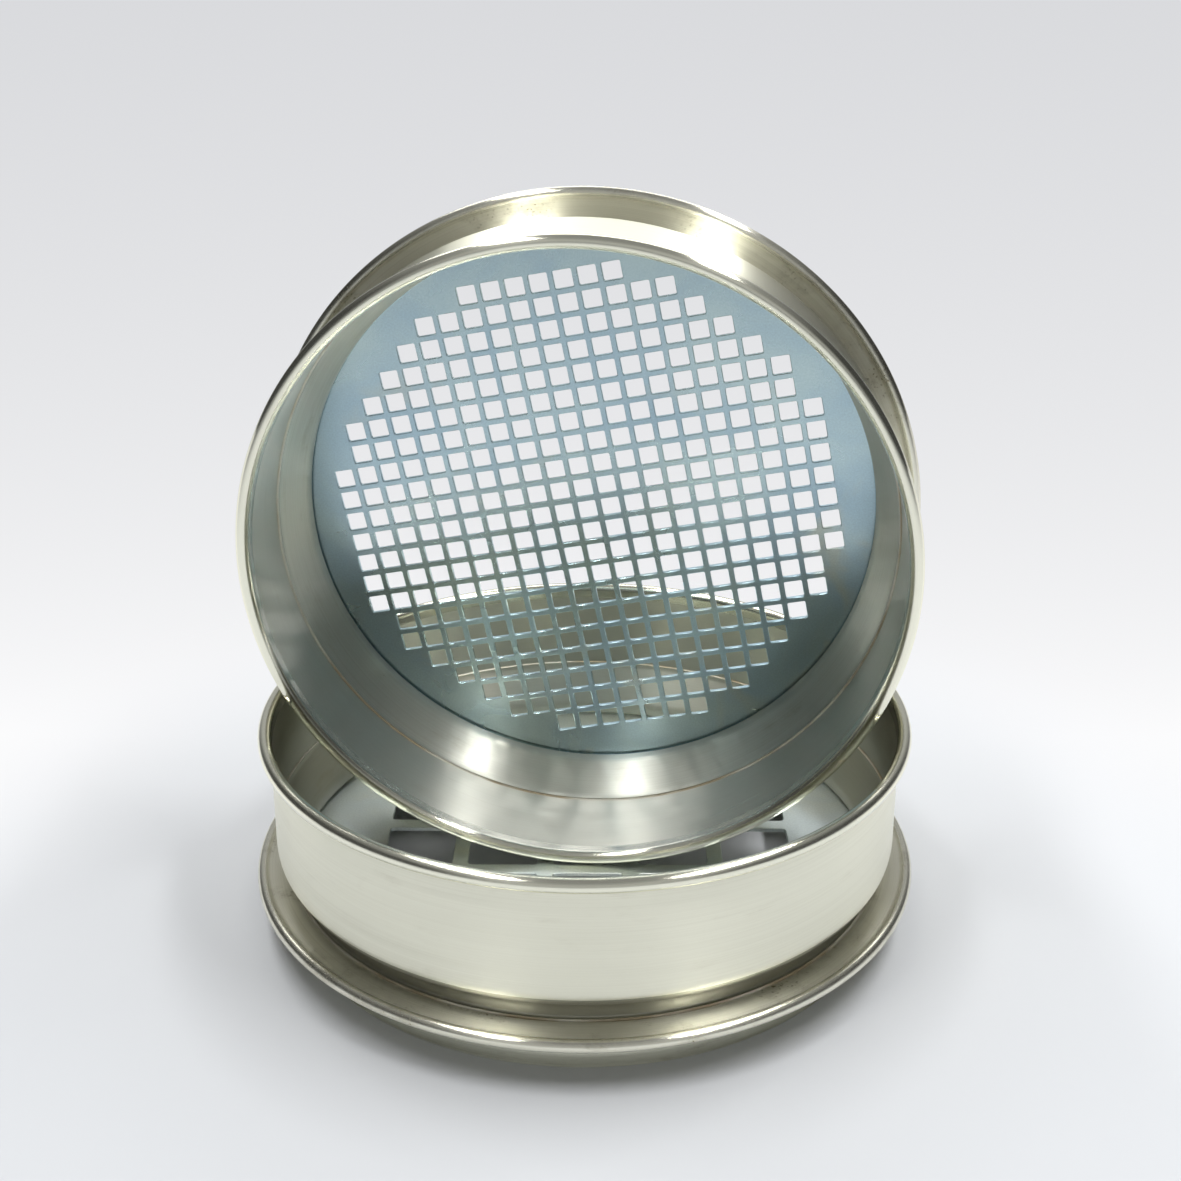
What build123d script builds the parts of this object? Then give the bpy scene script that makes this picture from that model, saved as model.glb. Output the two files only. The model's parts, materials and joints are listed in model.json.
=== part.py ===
"""Two nesting soil sieves of spun sheet metal with punched plates, as separate solids.

The coarse sieve stands on its foot. The fine sieve stands on edge inside it, on its rim bead and
its flange bead, with its mouth to the front. Units are millimetres, +Z is up and the front is -Y.
The origin is the centre of the coarse sieve's foot, on the surface that it stands on.
"""
from build123d import *
import math
import os

# ---- One sieve frame, shared by both sieves ----
BORE = 300.0                 # inside diameter of the straight wall
FRAME_HEIGHT = 98.0          # foot to the top of the rim
GAUGE = 0.9                  # thickness of all sheet metal
RIM_WIRE = 4.8               # diameter of the wire rolled into the rim
RIM_SWEEP = 285.0            # degrees of sheet rolled over the rim wire
FLANGE_WIRE = 4.0            # diameter of the wire rolled into the flange
FLANGE_SWEEP = 270.0         # degrees of sheet rolled over the flange wire
WIRE_PLAY = 0.1              # all round each wire
NECK_DEPTH = 9.3             # how far the wall draws in above the plate
NECK_BEND = 8.0              # radius of both neck bends
NECK_TURN = 60.0             # degrees of both neck bends
NECK_BAND = 2.0              # straight stretch under the neck
HEM_BEND = 1.3               # radius of the outward hem at the wall's lower edge
HEM_WIDTH = 0.6              # flat of the hem that sits on the flange
SEAT_HEIGHT = 22.5           # underside of the hem above the foot
LIP_SETBACK = 0.8            # flange's inner edge outside the neck's inside
LIP_WIDTH = 3.0              # flat of the flange between hem and plate
FLANGE_RUN = 9.9             # sloping stretch of the flange
FLANGE_SLOPE = 6.0           # degrees that it climbs outwards
FLANGE_LIFT = 30.0           # further degrees that lift it on to the wire
FLANGE_BEND = 4.0            # radius of both flange bends
BAND_TOP = 50.0              # top edge of the retaining band above the foot
BAND_SEAM = 0.3              # straight stretch at the band's soldered top edge
BAND_PLAY = 0.1              # retaining band to wall
BAND_FOOT = 1.4              # retaining band's lower edge to the plate
PLATE_THICKNESS = 2.0
PLATE_UNDER_LIP = 1.8        # plate's edge beyond the flange's inner edge
LEDGE_INNER = 6.2            # skirt's ledge reaches this far inside the plate's edge
SKIRT_PLAY = 2.8             # skirt to the wall of the mouth that it drops into, all round
SKIRT_BEND = 2.2             # radius of the bend between ledge and skirt
LEAD_IN = 3.2                # how far the foot draws in from the skirt
LEAD_BEND = 3.0              # radius of both lead-in bends
LEAD_TURN = 25.0             # degrees of both lead-in bends
FOOT_BAND = 0.8              # straight stretch at the foot
SOLDER_LEG = 0.8             # legs of each solder fillet

# ---- Punched plates: square hole, pitch, corner radius, bare margin inside the flange's inner
# ---- edge (to the outermost hole centres), turn in degrees, offset ----
FINE = dict(hole=9.0, pitch=11.7, corner=0.0, margin=18.6, turn=11.0, shift=(-1.0, 0.0))
COARSE = dict(hole=34.0, pitch=41.7, corner=2.0, margin=45.5, turn=0.0, shift=(1.5, -4.5))

# ---- Where the fine sieve stands in the coarse one ----
REST_GAP = 0.3               # fine sieve's beads to the plate under them
STAND_X, STAND_Y = -0.4, 16.3   # middle of its depth, seen from above
MOUTH_YAW = -5.35            # degrees that the mouth turns to the left

# ---- Worked out from the above ----
HALF = GAUGE / 2
WALL_IN = BORE / 2
RIM_ROLL = RIM_WIRE / 2 + HALF                     # middle of the rolled sheet
FLANGE_ROLL = FLANGE_WIRE / 2 + HALF
RIM_CENTRE = (WALL_IN + HALF + RIM_ROLL, FRAME_HEIGHT - HALF - RIM_ROLL)
NECK_IN = WALL_IN - NECK_DEPTH
HEM_START = SEAT_HEIGHT + HALF + HEM_BEND
LIP_IN = NECK_IN + LIP_SETBACK
PLATE_TOP = SEAT_HEIGHT - GAUGE
PLATE_BOTTOM = PLATE_TOP - PLATE_THICKNESS
PLATE_RADIUS = LIP_IN + PLATE_UNDER_LIP


def polar(degrees, length=1.0):
    """A step in the radius-height plane."""
    turn = math.radians(degrees)
    return Vector(math.cos(turn), 0, math.sin(turn)) * length


def jog_run(bends, turn, shift):
    """Straight between two opposite bends whose radii add up to bends, for a sideways shift."""
    turn = math.radians(turn)
    return (shift - bends * (1 - math.cos(turn))) / math.sin(turn)


def jog_drop(bends, turn, shift):
    """How far forward such a pair of bends goes."""
    angle = math.radians(turn)
    return bends * math.sin(angle) + jog_run(bends, turn, shift) * math.cos(angle)


def jog_turn(bends, drop, shift):
    """Degrees of such a pair of bends that goes forward by drop and sideways by shift."""
    slant = math.atan2(shift - bends, drop)
    return math.degrees(slant + math.asin(bends / math.hypot(drop, shift - bends)))


class Sheet:
    """A strip of sheet metal in the radius-height plane, grown along its middle line."""

    def __init__(self, radius, height, heading):
        self.at = Vector(radius, 0, height)
        self.heading = heading
        self.left, self.right = [], []

    def sides(self, at, heading):
        """The two faces of the sheet at a point of its middle line."""
        step = polar(heading + 90, HALF)
        return at + step, at - step

    def run(self, length):
        """Goes straight on."""
        end = self.at + polar(self.heading, length)
        old, new = self.sides(self.at, self.heading), self.sides(end, self.heading)
        self.left.append(Edge.make_line(old[0], new[0]))
        self.right.append(Edge.make_line(old[1], new[1]))
        self.at = end
        return self

    def bend(self, radius, turn):
        """Bends by turn degrees, to the left when positive."""
        inward = math.copysign(90, turn)
        centre = self.at + polar(self.heading + inward, radius)
        stops = []
        for share in (0, 0.5, 1):
            heading = self.heading + turn * share
            stops.append(self.sides(centre - polar(heading + inward, radius), heading))
        self.left.append(Edge.make_three_point_arc(*(stop[0] for stop in stops)))
        self.right.append(Edge.make_three_point_arc(*(stop[1] for stop in stops)))
        self.heading += turn
        self.at = centre - polar(self.heading + inward, radius)
        return self

    def jog(self, first, second, turn, shift):
        """Draws in to the right by shift, between two opposite bends."""
        between = jog_run(first + second, turn, shift)
        return self.bend(first, -turn).run(between).bend(second, turn)

    def ring(self):
        """Closes the outline and turns it about the axis."""
        caps = [Edge.make_line(self.left[-1] @ 1, self.right[-1] @ 1),
                Edge.make_line(self.right[0] @ 0, self.left[0] @ 0)]
        return revolve(Face(Wire(self.left + self.right + caps)), Axis.Z, 360)


def wall_shell():
    """Wall with its rim rolled outwards over a wire, the drawn-in neck and the hem."""
    first = 180 - RIM_SWEEP
    start = Vector(RIM_CENTRE[0], 0, RIM_CENTRE[1]) + polar(first, RIM_ROLL)
    neck = jog_drop(2 * NECK_BEND, NECK_TURN, NECK_DEPTH)
    sheet = Sheet(start.X, start.Z, first + 90).bend(RIM_ROLL, RIM_SWEEP)
    sheet.run(RIM_CENTRE[1] - HEM_START - NECK_BAND - neck)
    sheet.jog(NECK_BEND, NECK_BEND, NECK_TURN, NECK_DEPTH)
    return sheet.run(NECK_BAND).bend(HEM_BEND, 90).run(HEM_WIDTH).ring()


def retaining_band():
    """Band inside the wall that slopes from its soldered top edge down to the plate."""
    inset = GAUGE + BAND_PLAY
    turn = jog_turn(2 * NECK_BEND, BAND_TOP - BAND_SEAM - HEM_START - NECK_BAND, NECK_DEPTH)
    sheet = Sheet(WALL_IN + HALF - inset, BAND_TOP, -90).run(BAND_SEAM)
    sheet.jog(NECK_BEND - inset, NECK_BEND + inset, turn, NECK_DEPTH)
    return sheet.run(HEM_START + NECK_BAND - PLATE_TOP - BAND_FOOT).ring()


def flange_sheet():
    """The flange from its clamped lip to where it meets its wire."""
    sheet = Sheet(LIP_IN, SEAT_HEIGHT - HALF, 0).run(LIP_WIDTH)
    return sheet.bend(FLANGE_BEND, FLANGE_SLOPE).run(FLANGE_RUN).bend(FLANGE_BEND, FLANGE_LIFT)


def flange_ring():
    """Flange with its edge rolled down over a wire."""
    return flange_sheet().bend(FLANGE_ROLL, -FLANGE_SWEEP).ring()


def skirt_ring():
    """Ledge under the plate, the skirt, and the drawn-in foot."""
    middle = WALL_IN - SKIRT_PLAY - HALF
    ledge_start = PLATE_RADIUS - LEDGE_INNER
    lead = jog_drop(2 * LEAD_BEND, LEAD_TURN, LEAD_IN)
    sheet = Sheet(ledge_start, PLATE_BOTTOM - HALF, 0)
    sheet.run(middle - SKIRT_BEND - ledge_start).bend(SKIRT_BEND, -90)
    sheet.run(sheet.at.Z - lead - FOOT_BAND)
    return sheet.jog(LEAD_BEND, LEAD_BEND, LEAD_TURN, LEAD_IN).run(FOOT_BAND).ring()


def wire_ring(centre, diameter):
    """A closed ring of round wire about a centre in the radius-height plane."""
    section = Plane(origin=(centre[0], 0, centre[1]), z_dir=(0, 1, 0))
    return revolve(Face(Wire(Edge.make_circle(diameter / 2 - WIRE_PLAY, section))), Axis.Z, 360)


def rim_wire():
    """Wire inside the rim."""
    return wire_ring(RIM_CENTRE, RIM_WIRE)


def flange_wire():
    """Wire inside the flange's edge."""
    sheet = flange_sheet()
    centre = sheet.at + polar(sheet.heading - 90, FLANGE_ROLL)
    return wire_ring((centre.X, centre.Z), FLANGE_WIRE)


def solder(radius, height, outward):
    """A fillet of solder that rises from a flat at height and leans on a wall at radius."""
    points = [Vector(radius, 0, height), Vector(radius + SOLDER_LEG * outward, 0, height),
              Vector(radius, 0, height + SOLDER_LEG)]
    return revolve(Face(Wire.make_polygon(points)), Axis.Z, 360)


def band_solder():
    """Solder along the retaining band's top edge."""
    return solder(WALL_IN, BAND_TOP, -1)


def flange_solder():
    """Solder between the hem's edge and the flange."""
    return solder(NECK_IN + HALF + HEM_BEND + HEM_WIDTH, SEAT_HEIGHT, 1)


def skirt_solder():
    """Solder between the plate's edge and the skirt's ledge."""
    return solder(PLATE_RADIUS, PLATE_BOTTOM, 1)


def plate(hole, pitch, corner, margin, turn, shift):
    """A disc with square holes on a square grid, whose centres keep a margin to the lip."""
    reach = LIP_IN - margin
    if corner > 0:
        square = RectangleRounded(hole, hole, corner)
    else:
        square = Rectangle(hole, hole)
    outline = square.face().outer_wire()
    steps = range(-math.ceil(reach / pitch), math.ceil(reach / pitch) + 1)
    grid = Location((shift[0], shift[1], 0), (0, 0, turn))
    holes = [outline.moved(grid * Location((column * pitch, row * pitch, 0)))
             for column in steps for row in steps
             if math.hypot(column, row) * pitch <= reach]
    disc = Face(Wire(Edge.make_circle(PLATE_RADIUS)), holes)
    return extrude(disc, PLATE_THICKNESS, dir=(0, 0, 1)).moved(Location((0, 0, PLATE_BOTTOM)))


def bead_lean():
    """Degrees that a sieve's axis dips when it stands on its two beads."""
    sheet = flange_sheet()
    bead = sheet.at + polar(sheet.heading - 90, FLANGE_ROLL)
    apart = RIM_CENTRE[1] - bead.Z
    wider = bead.X - RIM_CENTRE[0]
    thinner = RIM_ROLL - FLANGE_ROLL
    return math.degrees(math.atan2(wider, apart) - math.asin(thinner / math.hypot(wider, apart)))


def fine_place():
    """Where the fine sieve's foot centre is, and its axis, when it stands in the coarse one."""
    lean, yaw = math.radians(bead_lean()), math.radians(MOUTH_YAW)
    axis = Vector(math.sin(yaw) * math.cos(lean), -math.cos(yaw) * math.cos(lean),
                  -math.sin(lean))
    across = Vector(math.cos(yaw), math.sin(yaw), 0)
    rim_height = PLATE_TOP + REST_GAP + RIM_ROLL + HALF + RIM_CENTRE[0] * math.cos(lean)
    foot = Vector(STAND_X - axis.X * FRAME_HEIGHT / 2, STAND_Y - axis.Y * FRAME_HEIGHT / 2,
                  rim_height - axis.Z * RIM_CENTRE[1])
    return Location(Plane(origin=foot, x_dir=across, z_dir=axis))


def sieve_pieces(pattern):
    """Every piece of one sieve, standing on its foot at the origin."""
    return {
        "wall_shell": wall_shell(),
        "rim_wire": rim_wire(),
        "retaining_band": retaining_band(),
        "punched_plate": plate(**pattern),
        "flange_ring": flange_ring(),
        "flange_wire": flange_wire(),
        "skirt_ring": skirt_ring(),
        "band_solder": band_solder(),
        "flange_solder": flange_solder(),
        "skirt_solder": skirt_solder(),
    }


def main():
    os.makedirs("parts", exist_ok=True)
    for sieve, pattern, place in (("coarse", COARSE, Location()), ("fine", FINE, fine_place())):
        for name, piece in sieve_pieces(pattern).items():
            export_step(piece.moved(place), f"parts/{sieve}_{name}.step")


main()
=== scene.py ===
"""Two nesting soil sieves of spun steel: the fine one stands on edge in the coarse one.

Every length is in metres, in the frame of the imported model: +Z is up, the front is -Y and the
origin is the centre of the coarse sieve's foot.
"""

import json
import logging
import math
from dataclasses import dataclass, field, fields, replace
from enum import Enum

import bmesh
import bpy
from bpy.types import Material, Mesh, Node, NodeSocket, NodeTree, Object
from mathutils import Matrix, Vector

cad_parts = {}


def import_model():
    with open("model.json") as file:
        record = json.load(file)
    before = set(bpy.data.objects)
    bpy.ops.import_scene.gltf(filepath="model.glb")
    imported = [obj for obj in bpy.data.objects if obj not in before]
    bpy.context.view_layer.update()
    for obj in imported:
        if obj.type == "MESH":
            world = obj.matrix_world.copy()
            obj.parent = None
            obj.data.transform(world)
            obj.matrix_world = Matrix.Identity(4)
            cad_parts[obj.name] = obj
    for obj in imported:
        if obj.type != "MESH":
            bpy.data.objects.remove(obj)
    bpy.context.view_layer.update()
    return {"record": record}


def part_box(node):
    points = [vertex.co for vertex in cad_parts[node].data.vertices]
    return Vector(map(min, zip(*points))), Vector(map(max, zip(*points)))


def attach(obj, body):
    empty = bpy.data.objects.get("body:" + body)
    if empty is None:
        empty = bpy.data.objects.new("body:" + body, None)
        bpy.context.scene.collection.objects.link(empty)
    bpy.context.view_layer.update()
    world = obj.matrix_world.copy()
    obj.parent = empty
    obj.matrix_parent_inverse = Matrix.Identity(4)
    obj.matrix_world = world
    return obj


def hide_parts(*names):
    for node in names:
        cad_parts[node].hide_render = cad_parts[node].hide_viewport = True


log = logging.getLogger("soil_sieves")

MM = 0.001
RING_SEGMENTS = 288
PLATE_SEGMENTS = 192
UPRIGHT = 0.999             # an axis whose Z is above this points straight up


# ---------------------------------------------------------------- helpers

def linear(hex_colour: str, alpha: float = 1.0) -> tuple[float, float, float, float]:
    """Turns an sRGB hex colour to linear light.

    Args:
        hex_colour: Six hex digits, such as "A0B0C0".
        alpha: Fourth channel of the result.

    Returns:
        The colour as red, green, blue and alpha.
    """
    parts = [int(hex_colour[i:i + 2], 16) / 255 for i in (0, 2, 4)]
    red, green, blue = (p / 12.92 if p <= 0.04045 else ((p + 0.055) / 1.055) ** 2.4 for p in parts)
    return red, green, blue, alpha


def add_node(tree: NodeTree, kind: str, inputs: dict | None = None, **settings: object) -> Node:
    """Adds a node with its settings, values and links.

    Args:
        tree: Tree that gets the node.
        kind: Blender's name of the node type.
        inputs: Socket name or index to a value, or to the output socket that feeds it.
        **settings: Properties of the node itself, set first.

    Returns:
        The new node.
    """
    node = tree.nodes.new(kind)
    for name, value in settings.items():
        setattr(node, name, value)
    for key, value in (inputs or {}).items():
        if isinstance(value, NodeSocket):
            tree.links.new(value, node.inputs[key])
        else:
            node.inputs[key].default_value = value
    return node


def new_tree(name: str, sockets: dict[str, str]) -> NodeTree:
    """Starts a Geometry Nodes tree that takes and gives geometry.

    Args:
        name: Name of the tree.
        sockets: Input name to socket type, after the geometry itself.

    Returns:
        The tree, with its interface but no nodes.
    """
    tree = bpy.data.node_groups.new(name, "GeometryNodeTree")
    tree.interface.new_socket("Geometry", in_out="INPUT", socket_type="NodeSocketGeometry")
    for label, kind in sockets.items():
        tree.interface.new_socket(label, in_out="INPUT", socket_type=kind)
    tree.interface.new_socket("Geometry", in_out="OUTPUT", socket_type="NodeSocketGeometry")
    return tree


def run_tree(name: str, base: Mesh, tree: NodeTree, values: dict[str, object]) -> Mesh:
    """Runs a Geometry Nodes tree on a mesh and takes the result as a plain mesh.

    Args:
        name: Name of the resulting mesh.
        base: Mesh that the tree starts from, removed afterwards.
        tree: Tree to run.
        values: Input name to value.

    Returns:
        The mesh that the tree made.
    """
    holder = bpy.data.objects.new(name + "_base", base)
    bpy.context.scene.collection.objects.link(holder)
    modifier = holder.modifiers.new("made_by_rule", "NODES")
    modifier.node_group = tree
    for item in tree.interface.items_tree:
        if item.in_out == "INPUT" and item.name in values:
            modifier[item.identifier] = values[item.name]
    graph = bpy.context.evaluated_depsgraph_get()
    made = bpy.data.meshes.new_from_object(holder.evaluated_get(graph))
    made.name = name
    holder.modifiers.remove(modifier)
    bpy.data.objects.remove(holder)
    bpy.data.meshes.remove(base)
    return made


# ---------------------------------------------------------------- where a sieve stands

@dataclass(frozen=True)
class Stance:
    """Where a sieve's foot centre is, and which way its axis points.

    Attributes:
        foot: Centre of the foot.
        axis: Unit vector from the foot to the mouth.
    """

    foot: Vector
    axis: Vector

    @classmethod
    def read(cls, sieve: str, wire_heights: tuple[float, float]) -> "Stance":
        """Finds it from the two wire rings, whose boxes are centred on the axis.

        Args:
            sieve: Prefix of the sieve's CAD nodes.
            wire_heights: Heights of the flange wire and the rim wire above the foot.

        Returns:
            The stance of that sieve.
        """
        low, high = (sum(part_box(f"{sieve}_{wire}"), Vector()) / 2
                     for wire in ("flange_wire", "rim_wire"))
        axis = (high - low).normalized()
        return cls(low - axis * wire_heights[0], axis)

    def matrix(self) -> Matrix:
        """Finds the way from the sieve's own frame to the part's frame.

        Returns:
            The matrix, which keeps the sieve's X level.
        """
        if self.axis.z > UPRIGHT:
            return Matrix.Translation(self.foot)
        across = Vector((0, 0, 1)).cross(self.axis).normalized()
        rows = Matrix((across, self.axis.cross(across), self.axis)).transposed()
        return Matrix.Translation(self.foot) @ rows.to_4x4()


# ---------------------------------------------------------------- shader helpers

def calc(tree: NodeTree, operation: str, *values: object, clamp: bool = False) -> NodeSocket:
    """Adds a Math node.

    Args:
        tree: Tree that gets the node.
        operation: Blender's name of the operation.
        *values: Numbers, or the output sockets that feed the node.
        clamp: Whether the result stays between 0 and 1.

    Returns:
        The result's socket.
    """
    return add_node(tree, "ShaderNodeMath", dict(enumerate(values)), operation=operation,
                    use_clamp=clamp).outputs[0]


def calc_vector(tree: NodeTree, operation: str, *values: object) -> NodeSocket:
    """Adds a Vector Math node.

    Args:
        tree: Tree that gets the node.
        operation: Blender's name of the operation, one that gives a vector.
        *values: Vectors, or the output sockets that feed the node.

    Returns:
        The result's socket.
    """
    return add_node(tree, "ShaderNodeVectorMath", dict(enumerate(values)),
                    operation=operation).outputs[0]


def length_of(tree: NodeTree, vector: NodeSocket) -> NodeSocket:
    """Length of a vector."""
    return add_node(tree, "ShaderNodeVectorMath", {0: vector}, operation="LENGTH").outputs["Value"]


def noise(tree: NodeTree, vector: NodeSocket, size: float, detail: float,
          **inputs: float) -> NodeSocket:
    """Adds a noise texture.

    Args:
        tree: Tree that gets the node.
        vector: Coordinates that feed it.
        size: Size of its blotches, in the coordinates' unit.
        detail: Number of finer layers.
        **inputs: Further values of the node, such as Roughness.

    Returns:
        The noise, about 0.5 on average.
    """
    return add_node(tree, "ShaderNodeTexNoise",
                    {"Vector": vector, "Scale": 1 / size, "Detail": detail,
                     **inputs}).outputs["Fac"]


def ramp(tree: NodeTree, value: NodeSocket, low: float, high: float,
         start: float = 0.0, end: float = 1.0, smooth: bool = True) -> NodeSocket:
    """Maps one range to another, and stays level outside it.

    Args:
        tree: Tree that gets the node.
        value: What is mapped.
        low: Where the range starts.
        high: Where it ends.
        start: Result at low.
        end: Result at high.
        smooth: Whether the change eases in and out.

    Returns:
        The result's socket.
    """
    return add_node(tree, "ShaderNodeMapRange",
                    {"Value": value, "From Min": low, "From Max": high, "To Min": start,
                     "To Max": end},
                    interpolation_type="SMOOTHSTEP" if smooth else "LINEAR").outputs["Result"]


def mix_colours(tree: NodeTree, share: NodeSocket, first: object,
                second: object) -> NodeSocket:
    """Mixes two colours.

    Args:
        tree: Tree that gets the node.
        share: Share of the second colour.
        first: A linear colour, or the socket that gives it.
        second: The same for the second colour.

    Returns:
        The mixed colour's socket.
    """
    return add_node(tree, "ShaderNodeMix", {"Factor": share, 6: first, 7: second},
                    data_type="RGBA", clamp_factor=True).outputs[2]


def bumped(tree: NodeTree, height: NodeSocket, depth: float) -> NodeSocket:
    """Normal of a surface whose relief is depth metres high where height is 1."""
    return add_node(tree, "ShaderNodeBump",
                    {"Strength": 1.0, "Distance": depth, "Height": height}).outputs[0]


def start_material(name: str) -> tuple[Material, NodeTree]:
    """Makes a material without nodes.

    Args:
        name: Its name.

    Returns:
        The material and its empty tree.
    """
    made = bpy.data.materials.new(name)
    made.use_nodes = True
    made.node_tree.nodes.clear()
    return made, made.node_tree


def surface_metal(tree: NodeTree, inputs: dict) -> None:
    """Ends a material's tree with a metal shader that has these inputs."""
    shader = add_node(tree, "ShaderNodeBsdfPrincipled", {"Metallic": 1.0, **inputs}).outputs[0]
    add_node(tree, "ShaderNodeOutputMaterial", {"Surface": shader})


def own_coordinates(tree: NodeTree, stance: Matrix) -> NodeSocket:
    """Object coordinates turned back to the sieve's own frame, so that patterns follow its axis.

    Args:
        tree: Tree that gets the nodes.
        stance: The sieve's place.

    Returns:
        The coordinates' socket.
    """
    place, turn, _ = stance.decompose()
    given = add_node(tree, "ShaderNodeTexCoord").outputs["Object"]
    return add_node(tree, "ShaderNodeMapping",
                    {"Vector": given, "Location": place, "Rotation": turn.to_euler("XYZ")},
                    vector_type="TEXTURE").outputs[0]


# ---------------------------------------------------------------- finishes

@dataclass(frozen=True)
class TurnedSteel:
    """Stainless sheet spun on a lathe: fine turning lines that stretch each highlight across them.

    Attributes:
        name: Name of the material.
        bright: Colour of clean metal, seen in what it mirrors.
        dull: Colour where it has been handled and scuffed.
        inside: Colour of the faces within the radius below, such as the inner face: a darker copy
            that is painted shade of the sieve's hollow.
        roughness: Blur of its mirror image.
        line: Spacing of the turning lines, drawn coarser than the real 0.1 mm so that they show.
        groove: Depth of the turning lines for the bump.
        scuff: Share of the surface that is scuffed, from 0 to 1.
        stretch: How far the lines stretch a highlight, from 0 to 1.
        scored: How much darker the deepest turning lines are, from 0 to 1.
        pit_level: Noise value above which the surface is pitted: less gives more pits.
        unshaded_beyond: Radius from where the face keeps the bright colour, free of the painted
            shade.
        burnished_above: Height above the foot from where it is burnished smoother.
        burnished_beyond: Radius from where it is burnished smoother.
    """

    name: str
    bright: str
    dull: str
    inside: str
    roughness: float
    line: float = 0.5 * MM
    groove: float = 0.006 * MM
    scuff: float = 0.5
    stretch: float = 0.95
    scored: float = 0.15
    pit_level: float = 0.78
    unshaded_beyond: float = 150.45 * MM
    burnished_above: float = 1.0
    burnished_beyond: float = 1.0

    ACROSS = 0.25               # turns the stretch square to the lines
    BURNISH = 0.13              # how much less blur burnishing leaves
    BURNISH_FADE = 2.0 * MM
    BANDS_PER_LINE = 0.14
    BAND_BLUR = 0.1
    BAND_RELIEF = 0.3
    DRIFT = 6.0                 # how fast lines change on the way round, per metre
    SMUDGE = 28.0 * MM
    SMEAR = 3.0                 # smudges are longer round the ring by this much
    SMUDGE_EDGE = (0.62, 0.85)  # noise where a smudge starts, and where it is full
    SMUDGE_SPREAD = 0.3         # how far scuff moves both
    SPECK = 1.6 * MM
    LINE_GRAIN = 0.55           # how far the turning lines break the smudges up
    SCORE_EDGE = (0.4, 0.8)
    PIT = 1.3 * MM
    PIT_EDGE = 0.08
    PIT_DEPTH = 1.6
    DIRT_BLUR = 0.14

    def turning(self, tree: NodeTree, own: NodeSocket) -> tuple[NodeSocket, NodeSocket]:
        """Adds turning marks that follow the length along the spun outline.

        Args:
            tree: Tree that gets the nodes.
            own: Coordinates in the sieve's own frame.

        Returns:
            The fine lines and the broad bands.
        """
        along = add_node(tree, "ShaderNodeAttribute", attribute_name="along").outputs["Fac"]
        drift = calc_vector(tree, "MULTIPLY", own, (self.DRIFT, self.DRIFT, 0.0))
        rise = add_node(tree, "ShaderNodeCombineXYZ", {"Z": along}).outputs[0]
        fine, broad = (calc_vector(tree, "MULTIPLY_ADD", rise, (share / self.line,) * 3, drift)
                       for share in (1.0, self.BANDS_PER_LINE))
        return noise(tree, fine, 1.0, 3.0, Roughness=0.6), noise(tree, broad, 1.0, 2.0)

    def wear(self, tree: NodeTree, own: NodeSocket, lines: NodeSocket) -> NodeSocket:
        """Adds smudges with pits in them, and dark score lines.

        Args:
            tree: Tree that gets the nodes.
            own: Coordinates in the sieve's own frame.
            lines: The fine turning lines.

        Returns:
            How dull the metal is, from 0 to 1.
        """
        smeared = calc_vector(tree, "MULTIPLY", own, (1.0, 1.0, self.SMEAR))
        clouds = noise(tree, smeared, self.SMUDGE, 5.0, Roughness=0.6)
        low, high = (edge - self.SMUDGE_SPREAD * self.scuff for edge in self.SMUDGE_EDGE)
        worn = ramp(tree, clouds, low, high, end=self.scuff)
        grain = calc(tree, "MULTIPLY_ADD", lines, self.LINE_GRAIN,
                     noise(tree, own, self.SPECK, 2.0))
        smudged = calc(tree, "MULTIPLY", worn, grain)
        scored = ramp(tree, lines, *self.SCORE_EDGE, end=self.scored, smooth=False)
        pitted = ramp(tree, noise(tree, own, self.PIT, 0.0), self.pit_level,
                      self.pit_level + self.PIT_EDGE, end=self.PIT_DEPTH, smooth=False)
        marked = calc(tree, "MULTIPLY_ADD", pitted, smudged, scored)
        return calc(tree, "ADD", smudged, marked, clamp=True)

    def material(self, stance: Matrix) -> Material:
        """Makes the material.

        Args:
            stance: Place of the sieve whose pieces get it.

        Returns:
            The material.
        """
        made, tree = start_material(self.name)
        own = own_coordinates(tree, stance)
        lines, bands = self.turning(tree, own)
        dirt = self.wear(tree, own, lines)
        parts = add_node(tree, "ShaderNodeSeparateXYZ", {"Vector": own}).outputs
        level = add_node(tree, "ShaderNodeCombineXYZ", {"X": parts["X"], "Y": parts["Y"]})
        radius = length_of(tree, level.outputs[0])
        # Outside this radius the bright colour; within it the darker inside colour, painted shade
        # of the hollow.
        unshaded_face_or_dressed_mesh = calc(tree, "GREATER_THAN", radius, self.unshaded_beyond)
        base_with_painted_shade = mix_colours(tree, unshaded_face_or_dressed_mesh, linear(self.inside), linear(self.bright))
        rough = calc(tree, "MULTIPLY_ADD", bands, self.BAND_BLUR,
                     self.roughness - self.BAND_BLUR / 2)
        rough = calc(tree, "MULTIPLY_ADD", dirt, self.DIRT_BLUR, rough)
        for value, start in ((parts["Z"], self.burnished_above), (radius, self.burnished_beyond)):
            smoother = ramp(tree, value, start, start + self.BURNISH_FADE, end=self.BURNISH)
            rough = calc(tree, "SUBTRACT", rough, smoother)
        relief = calc(tree, "MULTIPLY_ADD", bands, self.BAND_RELIEF, lines)
        tangent = add_node(tree, "ShaderNodeTangent", direction_type="UV_MAP", uv_map="UVMap")
        surface_metal(tree, {"Base Color": mix_colours(tree, dirt, base_with_painted_shade, linear(self.dull)),
                             "Roughness": rough, "Anisotropic": self.stretch,
                             "Anisotropic Rotation": self.ACROSS,
                             "Normal": bumped(tree, relief, self.groove),
                             "Tangent": tangent.outputs[0]})
        return made


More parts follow.
